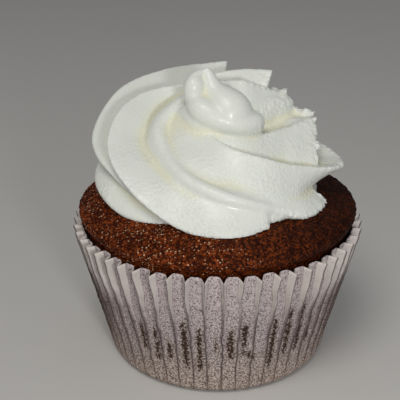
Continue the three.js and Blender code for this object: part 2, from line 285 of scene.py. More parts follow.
# --- meshes -----------------------------------------------------------------------------
def mesh_object(name, mesh):
    piece = bpy.data.objects.new(name, mesh)
    bpy.context.scene.collection.objects.link(piece)
    return piece


def mesh_of(name, points, faces):
    mesh = bpy.data.meshes.new(name)
    mesh.from_pydata([tuple(p) for p in points], [], faces)
    return mesh


def settle(piece):
    """Keeps what the modifiers make of a piece as its plain mesh, and removes them."""
    graph = bpy.context.evaluated_depsgraph_get()
    made = bpy.data.meshes.new_from_object(piece.evaluated_get(graph), depsgraph=graph)
    piece.modifiers.clear()
    piece.data = made


def rows_of(items, key, width, kind):
    """One property of all the vertices, edges or triangles of a mesh, a row for each."""
    flat = np.empty(len(items) * width, kind)
    items.foreach_get(key, flat)
    return flat.reshape(-1, width)


def move_points(mesh, points):
    mesh.vertices.foreach_set("co", points.astype(np.float32).ravel())
    mesh.update()


def finish_piece(piece, material, slot, *nodes):
    piece.data.materials.clear()
    piece.data.materials.append(material)
    piece.data.shade_smooth()
    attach(piece, "root")
    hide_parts(*nodes)


# --- node trees -------------------------------------------------------------------------
NOISE = "ShaderNodeTexNoise"
RANGE = "ShaderNodeMapRange"
MATH = "ShaderNodeMath"
# Kinds of node with the setting that makes them so.
PLUS = (MATH, {"operation": "ADD"})
MINUS = (MATH, {"operation": "SUBTRACT"})
TIMES = (MATH, {"operation": "MULTIPLY"})
TIMES_PLUS = (MATH, {"operation": "MULTIPLY_ADD"})
MIX = ("ShaderNodeMix", {"data_type": "RGBA"})


def add_node(tree, kind, *values, at=None, **settings):
    """Adds a node with its settings and fills its sockets: values in their order, and at by
    name. A value is a plain one, a socket, or a node whose first live output is meant."""
    if isinstance(kind, tuple):
        kind, settings = kind[0], {**kind[1], **settings}
    node = tree.nodes.new(kind)
    for key, value in settings.items():
        setattr(node, key, value)
    live = [s for s in node.inputs if s.enabled]
    wanted = list(zip(live, values))
    wanted += [(next(s for s in live if s.name == key), value) for key, value in (at or {}).items()]
    for socket, value in wanted:
        if isinstance(value, bpy.types.Node):
            value = next(s for s in value.outputs if s.enabled)
        if isinstance(value, bpy.types.NodeSocket):
            tree.links.new(value, socket)
        else:
            socket.default_value = value
    return node


def geometry_tree(name, sizes):
    """A Geometry Nodes tree with these named inputs; returns it and its input sockets."""
    tree = bpy.data.node_groups.new(name, "GeometryNodeTree")
    tree.interface.new_socket("Geometry", in_out="OUTPUT", socket_type="NodeSocketGeometry")
    tree.interface.new_socket("Geometry", in_out="INPUT", socket_type="NodeSocketGeometry")
    kinds = {int: "NodeSocketInt", float: "NodeSocketFloat"}
    for key, value in sizes.items():
        kind = kinds.get(type(value), "NodeSocketMaterial")
        tree.interface.new_socket(key, in_out="INPUT", socket_type=kind)
    return tree, add_node(tree, "NodeGroupInput").outputs


def run_tree(piece, tree, sizes):
    """Runs a tree on a piece with these sizes and keeps the result as its plain mesh."""
    modifier = piece.modifiers.new(tree.name, "NODES")
    modifier.node_group = tree
    for item in tree.interface.items_tree:
        if item.in_out == "INPUT" and item.name in sizes:
            modifier[item.identifier] = sizes[item.name]
    settle(piece)


def material_tree(name):
    """A new material with an empty node tree; returns both."""
    material = bpy.data.materials.new(name)
    material.use_nodes = True
    material.node_tree.nodes.clear()
    return material, material.node_tree


# --- curves and rings -------------------------------------------------------------------
def along(stations, shares):
    """Catmull-Rom values through evenly spaced stations, one row for each share from 0 to 1."""
    rows = np.asarray(stations, float)
    rows = rows[:, None] if rows.ndim == 1 else rows
    rows = np.vstack([2 * rows[0] - rows[1], rows, 2 * rows[-1] - rows[-2]])
    x = np.clip(shares, 0, 1) * (len(rows) - 3)
    i = np.minimum(x.astype(int), len(rows) - 4)
    f = (x - i)[:, None]
    a, b, c, d = (rows[i + k] for k in range(4))
    return b + 0.5 * f * (c - a + f * (2 * a - 5 * b + 4 * c - d + f * (3 * (b - c) + d - a)))


def from_polar(rows):
    """Points from rows of turn in degrees, radius and height."""
    turn = np.radians(rows[:, 0])
    return np.stack([rows[:, 1] * np.cos(turn), rows[:, 1] * np.sin(turn), rows[:, 2]], 1)


def unit(vectors):
    return vectors / np.maximum(np.linalg.norm(vectors, axis=-1, keepdims=True), 1e-9)


def distance_along(points):
    """How far along its path each point lies."""
    return np.concatenate([[0], np.cumsum(np.linalg.norm(np.diff(points, axis=0), axis=1))])


def turned_rings(rows, sides):
    """Rings of a turned body, from rows of radius and height."""
    turn = np.linspace(0, math.tau, sides, endpoint=False)
    radius, height = (np.asarray(rows, float)[:, k, None] for k in (0, 1))
    return np.stack(np.broadcast_arrays(radius * np.cos(turn), radius * np.sin(turn), height), 2)


def skin(rings, ends=None):
    """Points and faces of a closed body through rings (rings, points, 3), fanned at its two
    ends to their middles or to the points given."""
    rows, n, _ = rings.shape
    ends = ends or [rings[0].mean(0), rings[-1].mean(0)]
    points = np.vstack([rings.reshape(-1, 3), *ends])
    faces = []
    for j in range(rows - 1):
        for i in range(n):
            k = (i + 1) % n
            faces.append((j * n + i, j * n + k, (j + 1) * n + k, (j + 1) * n + i))
    first, last = rows * n, rows * n + 1
    for i in range(n):
        k = (i + 1) % n
        faces.append((first, k, i))
        faces.append((last, (rows - 1) * n + i, (rows - 1) * n + k))
    return points, faces


# --- paper case -------------------------------------------------------------------------
PLEAT_COLUMNS = 16  # columns of the sheet in one pleat
WALL_ROWS = 52
ROW_SPREAD = 1.15  # above 1, the rows crowd together low down, where the sheet turns in
FIRST_PLEAT = math.radians(-92.2)  # where the middle of the first panel stands
PLEAT_START = 1.6 * MM  # the pleats begin here, and the sheet turns in below
PANEL_AT_RIM = 0.29  # half width of a panel, as a share of one pleat
PANEL_BELOW = 0.47  # the same where the folds are pressed shut
FOLDS_SHUT = 22.5 * MM  # mean height below which they are pressed shut
FOLDS_SHUT_SPREAD = 2 * MM
SHOULDER = 0.3 * MM  # fall of a panel's top to its creases
UNEVEN_TOP = 0.2 * MM
DEPTH_CURVE = 0.8  # below 1, a pleat gains most of its depth low down
DEPTH_MEAN, DEPTH_SPREAD = 0.96, 0.08  # a pleat's depth, as a share of the full one
PANEL_SWELL = 0.16 * MM  # how far a panel bulges between its creases
WANDER, WANDER_SIZE = 1.6 * MM, 6  # sideways play of the fold lines, and its size in millimetres
CRINKLE, CRINKLE_SIZE = 0.3 * MM, 1.8
SEAM = 0.03 * MM  # points closer than this are merged
# Streaks of fat and cocoa soaked into the wall: turn in degrees and height in millimetres,
# at their upper and their lower end.
STREAKS = [
    (-126.3, 17, -126.3, 9), (-119.3, 16.5, -119.3, 6.5), (-112.6, 14, -112.6, 8),
    (-105.4, 20, -105.2, 6.5), (-98.6, 18.5, -98.9, 6), (-92.2, 16, -92.2, 11),
    (-85.2, 19, -84.8, 9), (-79.4, 20, -78.9, 12), (-78.9, 12, -74.9, 9.6),
    (-74.9, 9.6, -71.4, 12), (-71.4, 12, -71, 18), (-65.3, 20, -65.6, 6),
    (-58, 21.5, -58.2, 8), (-51.4, 22, -51.4, 8), (-44.7, 17, -44.7, 9),
    (60, 18, 60, 8), (102, 19, 102, 7), (149, 17, 149, 9), (196, 18, 196, 10),
]
STREAK_WIDTH = 1.5 * MM
STREAK_FADE = 1.5  # half the height over which an end fades out, in millimetres
STREAK_RADIUS = 28 * MM  # the wall's mean radius
LEAN_WIDENS = 60  # widens a leaning streak, because its width is measured round the wall


def streaks(add, turn, z):
    """How soaked each point of the wall is, from 0 to 1."""
    deepest = 0.0
    for start, high, end, low in STREAKS:
        # Turns count from the first column of the wall on.
        first, last = ((math.radians(t) - FIRST_PLEAT) % math.tau for t in (start, end))
        lean = (last - first) / ((high - low) * MM)
        line = add(TIMES_PLUS, z, -lean, first + lean * high * MM)
        line = add(MINUS, turn, add(PLUS, line, FIRST_PLEAT))
        line = add(TIMES, add(MATH, line, operation="ABSOLUTE"), STREAK_RADIUS)
        near = add(RANGE, line, STREAK_WIDTH * (1 + LEAN_WIDENS * abs(lean) * MM), 0.0, 0.0, 1.0)
        upper = add(RANGE, z, (high + STREAK_FADE) * MM, (high - STREAK_FADE) * MM, 0.0, 1.0)
        lower = add(RANGE, z, (low - STREAK_FADE) * MM, (low + STREAK_FADE) * MM, 0.0, 1.0)
        here = add(TIMES, add(TIMES, near, upper), lower)
        deepest = add(MATH, here, deepest, operation="MAXIMUM")
    return deepest


def round_the_axis(add, radius, turn):
    """X and Y at this radius and turn."""
    shares = [add(MATH, turn, operation=way) for way in ("COSINE", "SINE")]
    return [add(TIMES, radius, share) for share in shares]


def paper_case_tree(sizes):
    """One pleat rule, repeated round a cone: a broad panel that stands in, and a narrow fold
    that stands out, with its two sides opening towards the rim."""
    tree, size = geometry_tree("Pleated paper case", sizes)
    add = partial(add_node, tree)
    columns = add(TIMES, size["Pleats"], float(PLEAT_COLUMNS))
    across = add(PLUS, columns, 1.0)
    sheet = add("GeometryNodeMeshGrid", 1.0, 1.0, across, WALL_ROWS + 1)
    place = add("ShaderNodeSeparateXYZ", add("GeometryNodeInputPosition")).outputs
    share = add(PLUS, place["X"], 0.5)
    climb = add(MATH, add(PLUS, place["Y"], 0.5), ROW_SPREAD, operation="POWER")
    # Half the columns of a pleat cross its panel and half its folds, so that they meet in a
    # crisp crease: panel and flank run from 0 to 1 on either side of the panel's middle.
    run = add(TIMES, share, size["Pleats"])
    pleat = add(MATH, add(PLUS, run, 0.5), operation="FLOOR")
    offset = add(MINUS, run, pleat)
    reach = add(MATH, offset, operation="ABSOLUTE")
    panel = add(RANGE, reach, 0.0, 0.25, 0.0, 1.0)
    flank = add(RANGE, reach, 0.25, 0.5, 0.0, 1.0)
    number = add(MATH, pleat, size["Pleats"], operation="MODULO")
    chance = add(
        "FunctionNodeRandomValue", (-1.0, -1.0, -1.0), (1.0, 1.0, 1.0), number, size["Seed"],
        data_type="FLOAT_VECTOR",
    )
    chance = add("ShaderNodeSeparateXYZ", chance).outputs
    # The rim falls in an arch from each panel to its folds, a little unevenly.
    inwards = add(MINUS, 1.0, flank)
    shoulder = add(TIMES, add(MATH, panel, 4.0, operation="POWER"), SHOULDER)
    uneven = add(TIMES_PLUS, chance["Z"], UNEVEN_TOP, shoulder)
    dip = add(TIMES, uneven, inwards)
    dip = add(TIMES_PLUS, flank, size["Rim Dip"], dip)
    top = add(MINUS, size["Height"], dip)
    z = add(TIMES, climb, top)
    # The folds are pressed shut below a height that differs from pleat to pleat.
    shut = add(TIMES_PLUS, chance["X"], FOLDS_SHUT_SPREAD, FOLDS_SHUT)
    half = add(RANGE, z, shut, size["Height"], PANEL_BELOW, PANEL_AT_RIM)
    # At the very bottom the columns are evenly spread, to meet those of the underside.
    half = add(RANGE, z, 0.0, PLEAT_START, 0.25, half)
    rest = add(TIMES, add(MINUS, 0.5, half), flank)
    within = add(TIMES_PLUS, half, panel, rest)
    signed = add(TIMES, within, add(MATH, offset, operation="SIGN"))
    # The pleats deepen up the wall; below them the sheet turns in under the case.
    above = add(RANGE, z, PLEAT_START, size["Height"], 0.0, 1.0)
    depth = add(MATH, above, DEPTH_CURVE, operation="POWER")
    depth = add(TIMES, depth, size["Pleat Depth"])
    strength = add(TIMES_PLUS, chance["Y"], DEPTH_SPREAD, DEPTH_MEAN)
    depth = add(TIMES, add(TIMES, depth, strength), inwards)
    swell = add(TIMES, panel, panel)
    swell = add(TIMES, add(MINUS, 1.0, swell), PANEL_SWELL)
    cone = add(RANGE, z, 0.0, size["Height"], size["Base Radius"], size["Rim Radius"])
    below = add(RANGE, z, PLEAT_START, 0.0, 0.0, 1.0)
    below = add(TIMES, below, below)
    tuck = add(TIMES, below, size["Edge Rounding"])
    radius = add(MINUS, cone, tuck)
    radius = add(MINUS, radius, depth)
    radius = add(PLUS, radius, add(TIMES, swell, above))
    turn = add(MATH, add(PLUS, pleat, signed), size["Pleats"], operation="DIVIDE")
    turn = add(TIMES_PLUS, turn, math.tau, FIRST_PLEAT)
    # Fold lines wander a little, and the sheet is faintly crinkled.
    ground = add("ShaderNodeCombineXYZ", *round_the_axis(add, cone, turn), z)
    free = add(RANGE, z, 0.5 * MM, 6 * MM, 0.0, 1.0)
    wander = add(NOISE, at={"Vector": ground, "Scale": per(WANDER_SIZE), "Detail": 2.0})
    wander = add(TIMES, add(MINUS, wander, 0.5), free)
    sideways = add(MATH, add(TIMES, wander, WANDER), cone, operation="DIVIDE")
    crinkle = add(NOISE, at={"Vector": ground, "Scale": per(CRINKLE_SIZE), "Detail": 1.0})
    crinkle = add(TIMES, add(TIMES, crinkle, free), CRINKLE)
    radius = add(MINUS, radius, crinkle)
    turn = add(PLUS, turn, sideways)
    place = add("ShaderNodeCombineXYZ", *round_the_axis(add, radius, turn), z)
    # The finish needs to know where it is on a pleat.
    for name, value in (("panel", panel), ("flank", flank), ("soaked", streaks(add, turn, z))):
        sheet = add(
            "GeometryNodeStoreNamedAttribute", at={"Geometry": sheet, "Name": name, "Value": value},
            data_type="FLOAT", domain="POINT",
        )
    wall = add("GeometryNodeSetPosition", sheet, at={"Position": place})
    rim = add(MINUS, size["Base Radius"], size["Edge Rounding"])
    underside = add("GeometryNodeMeshCircle", columns, rim, fill_type="NGON")
    start = add("ShaderNodeCombineXYZ", 0.0, 0.0, FIRST_PLEAT)
    underside = add("GeometryNodeTransform", underside, at={"Rotation": start})
    joined = add("GeometryNodeJoinGeometry", add("GeometryNodeFlipFaces", underside))
    tree.links.new(wall.outputs[0], joined.inputs[0])
    closed = add("GeometryNodeMergeByDistance", joined, at={"Distance": SEAM})
    real = add("GeometryNodeRealizeInstances", closed)
    add("NodeGroupOutput", add("GeometryNodeSetMaterial", real, at={"Material": size["Material"]}))
    return tree


def paper_material(case):
    """Greaseproof paper, pressed and put through the oven: matt, specked on the panels that touch the
    crumb, clean on the folds, browner near the base, with dark soaked streaks on some panels."""
    material, tree = material_tree("Greaseproof paper")
    add = partial(add_node, tree)
    place = add("ShaderNodeTexCoord").outputs["Object"]
    height = add("ShaderNodeSeparateXYZ", place).outputs["Z"]
    panel, flank, soaked = (
        add("ShaderNodeAttribute", attribute_name=name).outputs["Fac"]
        for name in ("panel", "flank", "soaked")
    )
    # The folds never touched the sponge, so they stay clean, high up above all.
    clean = add(RANGE, flank, 0.0, 0.12, 0.0, 1.0)
    clean = add(TIMES, clean, add(RANGE, height, 17 * MM, 25 * MM, 0.1, 1.0))
    cloud = add(NOISE, at={"Vector": place, "Scale": per(3.5), "Detail": 3.0})
    warm = add(MINUS, height, add(TIMES, cloud, 9 * MM))
    warm = add(RANGE, warm, 12 * MM, -4 * MM, 0.0, 1.0)
    base = add(MIX, clean, case.paper, case.flank)
    base = add(MIX, warm, base, case.toasted)
    # Specks are drawn a third of a millimetre across, coarser than real ones, so that they
    # show, and are sparse where the paper is clean.
    grain = add(NOISE, at={"Vector": place, "Scale": per(0.33), "Detail": 2.0, "Roughness": 0.6})
    low = add(RANGE, height, 26 * MM, 12 * MM, 0.45, 0.49)
    level = add(TIMES_PLUS, clean, -0.13, low)
    speck = add(MINUS, level, grain)
    speck = add(RANGE, speck, -0.03, 0.06, 0.0, 0.8)
    base = add(MIX, speck, base, case.speck)
    bright = add(RANGE, add(MINUS, grain, clean), 0.54, 0.62, 0.0, 0.8)
    base = add(MIX, bright, base, case.flank)
    # Painted shade, partly grease: a thin dark line along the creases and at the fold tips, wider high
    # up.
    crease = add(RANGE, add(MINUS, panel, flank), 0.86, 1.0, 0.0, 0.6)
    tip = add(RANGE, height, 24 * MM, 18 * MM, 0.8, 0.1)
    tip = add(RANGE, flank, tip, 1.0, 0.0, 1.0)
    line = add(MATH, add(TIMES, crease, cloud), tip, operation="MAXIMUM")
    base = add(MIX, line, base, case.speck)
    # Streaks of fat break up into dark blots, in paper that is browned round them.
    browned = add(TIMES, soaked, 0.45)
    base = add(MIX, browned, base, case.toasted)
    blotch = add(NOISE, at={"Vector": place, "Scale": per(0.5), "Detail": 3.0, "Roughness": 0.7})
    stain = add(PLUS, add(TIMES, soaked, 0.34), blotch)
    stain = add(RANGE, stain, 0.67, 0.75, 0.0, 1.0)
    base = add(MIX, stain, base, case.stain)
    fibre = add(NOISE, at={"Vector": place, "Scale": per(0.4), "Detail": 2.0})
    relief = add("ShaderNodeBump", at={"Height": fibre, "Strength": 0.35, "Distance": 0.05 * MM})
    surface = add("ShaderNodeBsdfPrincipled", at={
        "Base Color": base, "Normal": relief, "Roughness": 0.72, "IOR": 1.5,
    })
    add("ShaderNodeOutputMaterial", surface)
    return material


class OBJECT_OT_paper_case(bpy.types.Operator):
    """Builds the pleated paper case"""

    bl_idname = "cupcake.paper_case"
    bl_label = "Paper case"

    def execute(self, context):
        case = context.scene.cupcake_case
        material = paper_material(case)
        sizes = {
            "Base Radius": case.base_radius,
            "Rim Radius": case.rim_radius,
            "Height": case.height,
            "Edge Rounding": case.base_rounding,
            "Pleats": case.pleats,
            "Pleat Depth": case.pleat_depth,
            "Rim Dip": case.rim_dip,
            "Seed": case.seed,
            "Material": material,
        }
        piece = mesh_object("paper_case_sheet", bpy.data.meshes.new("paper_case_sheet"))
        run_tree(piece, paper_case_tree(sizes), sizes)
        wall = piece.modifiers.new("Paper", "SOLIDIFY")
        wall.thickness = case.thickness
        wall.offset = -1
        settle(piece)
        finish_piece(piece, material, "paper", "paper_case")
        return {"FINISHED"}


# --- sponge -----------------------------------------------------------------------------
SPONGE_SIDES = 480
# Radius and height of the wall, from the middle of the underside up to the dome.
SPONGE_WALL = [(0, 0.8), (22.9, 0.8), (24.2, 2.2), (25.1, 6), (27.4, 19)]
CRUST_STEP = 0.42  # between the rings of the crust, where it shows
HIDDEN_RADIUS = 15  # within it the cream covers the dome
HIDDEN_RINGS = 9
LOWEST_GRAIN = 31.5  # grains lie above it, where the sponge stands clear of the paper


def dome_curve():
    """The dome as fine rows of radius and height, in millimetres."""
    return along(DOME, np.linspace(0, 1, 400))


def dome_height(radius):
    """Height of the dome at a radius, in millimetres."""
    curve = dome_curve()
    upper = curve[np.argmax(curve[:, 0]) :][::-1]
    return np.interp(radius, upper[:, 0], upper[:, 1])


def sponge_profile():
    """Rows of radius and height from pole to pole, close together where the crust shows."""
    curve = dome_curve()
    run = distance_along(curve)
    hidden = np.interp(-HIDDEN_RADIUS, -curve[:, 0], run)
    fine = np.arange(0, hidden, CRUST_STEP)
    coarse = np.linspace(hidden, run[-1], HIDDEN_RINGS)
    marks = np.concatenate([fine, coarse])
    dome = np.stack([np.interp(marks, run, curve[:, k]) for k in (0, 1)], 1)
    return np.vstack([SPONGE_WALL, dome])


def crumb_height(point):
    """Relief of the open crumb at a point in millimetres, from -1 in a pore to about 1."""
    grain = noise.noise(point / 1.1) + 0.8 * noise.noise(point / 0.55)
    pore = noise.voronoi(point / 1.7)[0][0]
    return 0.8 * grain - max(0.0, 0.28 - pore) * 2.6


def sponge_material(sponge):
    """Moist cocoa sponge: a dark open crumb under a thin crust, with painted highlights (glints) on its
    grains and painted shade on one side.
    """
    material, tree = material_tree("Cocoa sponge")
    add = partial(add_node, tree)
    place = add("ShaderNodeTexCoord").outputs["Object"]
    # Crumb and painted glints are drawn about half a millimetre across, coarser than real ones,
    # so that they show.
    cloud = add(NOISE, at={"Vector": place, "Scale": per(4), "Detail": 3.0})
    grain = add(NOISE, at={"Vector": place, "Scale": per(0.55), "Detail": 3.0, "Roughness": 0.75})
    cells = add("ShaderNodeTexVoronoi", at={"Vector": place, "Scale": per(0.42)})
    pick = add("ShaderNodeSeparateXYZ", cells.outputs["Color"]).outputs
    light = add(PLUS, add(PLUS, cloud, grain), pick["Y"])
    light = add(RANGE, light, 1.35, 2.05, 0.0, 1.0)
    dark = add(PLUS, grain, add(TIMES, pick["Z"], 0.2))
    dark = add(RANGE, dark, 0.62, 0.46, 0.0, 0.8)
    base = add(MIX, light, sponge.crust, sponge.crumb)
    base = add(MIX, dark, base, sponge.pores_and_shade)
    # Painted shade: the crust darkens towards +X, where less light falls, and fewer painted glints lie
    # there.
    side = add("ShaderNodeSeparateXYZ", place).outputs["X"]
    painted_side_shade = add(PLUS, side, add(TIMES, cloud, 12 * MM))
    painted_side_shade = add(RANGE, painted_side_shade, 4 * MM, 30 * MM, 0.0, 0.75)
    base = add(MIX, painted_side_shade, base, sponge.pores_and_shade)
    # Painted highlights: bright specks in chosen cells, glossier than the rest.
    chosen = add(TIMES_PLUS, cloud, 0.3, pick["X"])
    chosen = add(TIMES_PLUS, painted_side_shade, -0.45, chosen)
    chosen = add(RANGE, chosen, 0.97, 1.07, 0.0, 0.9)
    core = add(RANGE, cells.outputs["Distance"], 0.5, 0.3, 0.0, 1.0)
    painted_glint = add(TIMES, chosen, core)
    base = add(MIX, painted_glint, base, sponge.painted_glint)
    gloss = add(RANGE, painted_glint, 0.0, 1.0, 0.6, 0.25)
    relief = add("ShaderNodeBump", at={"Height": grain, "Strength": 1.0, "Distance": 0.35 * MM})
    surface = add("ShaderNodeBsdfPrincipled", at={
        "Base Color": base, "Normal": relief, "Roughness": gloss, "IOR": 1.45, "Specular IOR Level": 0.12,
    })
    add("ShaderNodeOutputMaterial", surface)
    return material


def crumb_tree(sizes):
    """Loose grains strewn on the crust, each a small faceted lump turned at random."""
    tree, size = geometry_tree("Loose crumbs", sizes)
    add = partial(add_node, tree)
    crust = next(s for s in tree.nodes[0].outputs if s.name == "Geometry")
    spot = add("ShaderNodeSeparateXYZ", add("GeometryNodeInputPosition")).outputs
    out = add("ShaderNodeCombineXYZ", spot["X"], spot["Y"], 0.0)
    out = add("ShaderNodeVectorMath", out, operation="LENGTH").outputs["Value"]
    wide = add("FunctionNodeCompare", out, size["Inner Radius"], operation="GREATER_THAN")
    high = add("FunctionNodeCompare", spot["Z"], size["Lowest"], operation="GREATER_THAN")
    both = add("FunctionNodeBooleanMath", wide, high, operation="AND")
    spread = add("GeometryNodeDistributePointsOnFaces", crust, both, at={
        "Density": size["Density"], "Seed": size["Seed"],
    })
    lump = add("GeometryNodeMeshIcoSphere", size["Grain"], 1)
    spin, grow = (
        add("FunctionNodeRandomValue", least, most, data_type="FLOAT_VECTOR", at={"Seed": size["Seed"]})
        for least, most in (((0.0, 0.0, 0.0), (6.28, 6.28, 6.28)), ((0.5, 0.5, 0.4), (1.5, 1.3, 1.1)))
    )
    strewn = add("GeometryNodeInstanceOnPoints", spread.outputs["Points"], at={
        "Instance": lump, "Rotation": spin, "Scale": grow,
    })
    real = add("GeometryNodeRealizeInstances", strewn)
    add("NodeGroupOutput", add("GeometryNodeSetMaterial", real, at={"Material": size["Material"]}))
    return tree


class OBJECT_OT_sponge(bpy.types.Operator):
    """Builds the sponge with its open crumb, and the loose grains on its crust"""

    bl_idname = "cupcake.sponge"
    bl_label = "Sponge"

    def execute(self, context):
        sponge = context.scene.cupcake_sponge
        material = sponge_material(sponge)
        profile = sponge_profile()
        poles = [(0, 0, profile[0][1]), (0, 0, profile[-1][1])]
        points, faces = skin(turned_rings(profile[1:-1], SPONGE_SIDES), poles)
        mesh = mesh_of("sponge", points * MM, faces)
        mesh.update()
        normals = np.array([v.normal for v in mesh.vertices])
        crust = points[:, 2] > DOME[0][1]
        heights = np.array([crumb_height(Vector(p)) if c else 0.0 for p, c in zip(points, crust)])
        move_points(mesh, points * MM + normals * heights[:, None] * sponge.crumb_relief)
        piece = mesh_object("sponge", mesh)
        finish_piece(piece, material, "sponge", "cake")
        band = math.pi * (CASE_TOP.x**2 - (HIDDEN_RADIUS * MM) ** 2)
        sizes = {
            "Density": sponge.loose_crumbs / band,
            "Grain": sponge.grain,
            "Inner Radius": HIDDEN_RADIUS * MM,
            "Lowest": LOWEST_GRAIN * MM,
            "Seed": sponge.seed,
            "Material": material,
        }
        crumbs = mesh_object("sponge_crumbs", mesh.copy())
        run_tree(crumbs, crumb_tree(sizes), sizes)
        finish_piece(crumbs, material, "sponge", "cake")
        return {"FINISHED"}


# --- cream ------------------------------------------------------------------------------
# Sizes in millimetres.
BED_SIDES = 72
SECTION_STEP = 0.8  # between the rings of a rib
AHEAD = 0.02  # share of a crest over which its direction is taken
SEAT = 0.08  # how far the cream's underside stands above the dome
# A rib's section: its waist as a share of the reach, depths and half widths as shares of the
# foot, and the brow under the crest as shares of the crest's radius.
WAIST_OUT, WAIST_WIDTH = 0.45, 0.55
FOOT_WIDTH, FOOT_DEPTH = 0.8, 0.6
HEEL_DEPTH, HEEL_WIDTH = 0.4, 0.5
BROW_DEPTH, BROW_WIDTH = 0.3, 0.72
# A torn end: how far along the rib its streaks and its teeth fade, how far off they reach,
# and the least share that counts.
RAG_LENGTH, TEETH_LENGTH = 4, 16
TORN_REACH = 2.5
LEAST_TORN = 0.03
UNEVEN_CREAM = 0.14  # slight unevenness everywhere
CREST_ROUNDS, CREST_SCALE = 14, 0.12  # rounds of smoothing that find the crests, and their rise
VALLEY_ROUNDS, VALLEY_SCALE = 180, 0.5  # the same for the valleys, and their depth
VALLEY_PULL, CREST_PULL = 0.6, 0.12  # shares of each pull that smooths valleys and crests


def rope_at(turns):
    """Points of the rope's centre at these turns round the middle."""
    known = [s[0] for s in ROPE]
    wanted = np.where(turns > known[-1], turns - 360, turns)
    return from_polar(along(ROPE, np.interp(wanted, known, np.linspace(0, 1, len(known)))))


def rib_section(reach, foot, edge, hollow):
    """Half of a rib's section as rows of reach and half width, from its foot to its crest."""
    flank = along([
        (0, foot * FOOT_WIDTH),
        (reach * WAIST_OUT, foot * (WAIST_WIDTH - hollow)),
        (reach - edge, edge),
    ], np.linspace(0, 1, 9))
    heel = (-HEEL_DEPTH * foot, HEEL_WIDTH * foot)
    brow = (reach - BROW_DEPTH * edge, BROW_WIDTH * edge)
    return np.vstack([heel, flank, brow])


def rib_body(rib):
    """Rings of a rib, and for each ring its place along the rib, how ragged and how toothed."""
    fine = np.linspace(0, 1, 200)
    crest = from_polar(along(rib["crest"], fine))
    run = distance_along(crest)
    marks = np.linspace(0, run[-1], max(8, round(run[-1] / SECTION_STEP)))
    shares = np.interp(marks, run, fine)
    crest = from_polar(along(rib["crest"], shares))
    if "root" in rib:
        root = from_polar(along(rib["root"], shares))
    else:
        root = rope_at(along([s[0] for s in rib["crest"]], shares)[:, 0])
    reach = np.linalg.norm(crest - root, axis=1)
    out = unit(crest - root)
    behind, ahead = (from_polar(along(rib["crest"], shares + step)) for step in (-AHEAD, AHEAD))
    side = unit(np.cross(ahead - behind, out))
    feet, edges = along(rib["foot"], shares)[:, 0], along(rib["edge"], shares)[:, 0]
    rings = []
    for j in range(len(shares)):
        half = rib_section(reach[j], feet[j], edges[j], rib["hollow"])
        tip, sole = [(reach[j], 0)], [(-FOOT_DEPTH * feet[j], 0)]
        loop = np.vstack([tip, half[::-1], sole, half * (1, -1)])
        rings.append(root[j] + loop[:, :1] * out[j] + loop[:, 1:] * side[j])
    first, last = rib["ragged"]
    rag = first * np.exp(-marks / RAG_LENGTH) + last * np.exp((marks - run[-1]) / RAG_LENGTH)
    serrate = last * np.exp((marks - run[-1]) / TEETH_LENGTH)
    return np.array(rings), marks, rag, serrate


def round_body(path, radii, level, sides):
    """Rings of a round body along a path."""
    ahead = unit(np.gradient(path, axis=0))
    a = unit(np.cross(level, ahead))
    b = np.cross(ahead, a)
    turn = np.linspace(0, math.tau, sides, endpoint=False)[None, :, None]
    around = a[:, None] * np.cos(turn) + b[:, None] * np.sin(turn)
    return path[:, None] + radii[:, None, None] * around


def strand_body(stations, radius):
    """Rings of a round strand through stations of turn, radius and height."""
    path = from_polar(along(stations, np.linspace(0, 1, 90)))
    return round_body(path, np.full(len(path), radius), (0, 0, 1), 24)


def lobe_body(stations):
    """Rings of a lump through stations of place and radius."""
    rows = along(stations, np.linspace(0, 1, 60))
    return round_body(rows[:, :3], rows[:, 3], (0, 1, 0), 32)


def above_dome(points):
    """Points with their height counted from the cream's seat on the dome."""
    flat = points.copy()
    flat[:, 2] -= dome_height(np.hypot(points[:, 0], points[:, 1])) + SEAT
    return flat


def cut_at_seat(bm, points, faces):
    """Adds a closed body to bm, cut off flat at height 0."""
    verts = [bm.verts.new(p) for p in points]
    for face in faces:
        bm.faces.new([verts[i] for i in face])
    faces = {f for v in verts for f in v.link_faces}
    edges = {e for v in verts for e in v.link_edges}
    made = bmesh.ops.bisect_plane(
        bm, geom=[*verts, *edges, *faces], plane_co=(0, 0, 0), plane_no=(0, 0, 1), clear_inner=True
    )
    rims = [e for e in made["geom_cut"] if isinstance(e, bmesh.types.BMEdge)]
    bmesh.ops.holes_fill(bm, edges=rims, sides=0)


def fuse(bodies, voxel):
    """One skin over all the bodies, on an even grid, in millimetres above the seat."""
    bm = bmesh.new()
    for rings in bodies:
        points, faces = skin(rings)
        cut_at_seat(bm, above_dome(points), faces)
    bmesh.ops.recalc_face_normals(bm, faces=bm.faces)
    mesh = bpy.data.meshes.new("piped_cream")
    bm.to_mesh(mesh)
    bm.free()
    piece = mesh_object("piped_cream", mesh)
    grid = piece.modifiers.new("Fuse", "REMESH")
    grid.mode = "VOXEL"
    grid.voxel_size = voxel
    settle(piece)
    return piece


def drop_scraps(mesh):
    """Keeps only the largest connected skin."""
    bm = bmesh.new()
    bm.from_mesh(mesh)
    left = set(bm.verts)
    shells = []
    while left:
        shell, edge = set(), {left.pop()}
        while edge:
            shell |= edge
            edge = {e.other_vert(v) for v in edge for e in v.link_edges} - shell
        left -= shell
        shells.append(shell)
    largest = max(shells, key=len)
    bmesh.ops.delete(bm, geom=[v for v in bm.verts if v not in largest], context="VERTS")
    bm.to_mesh(mesh)
    bm.free()


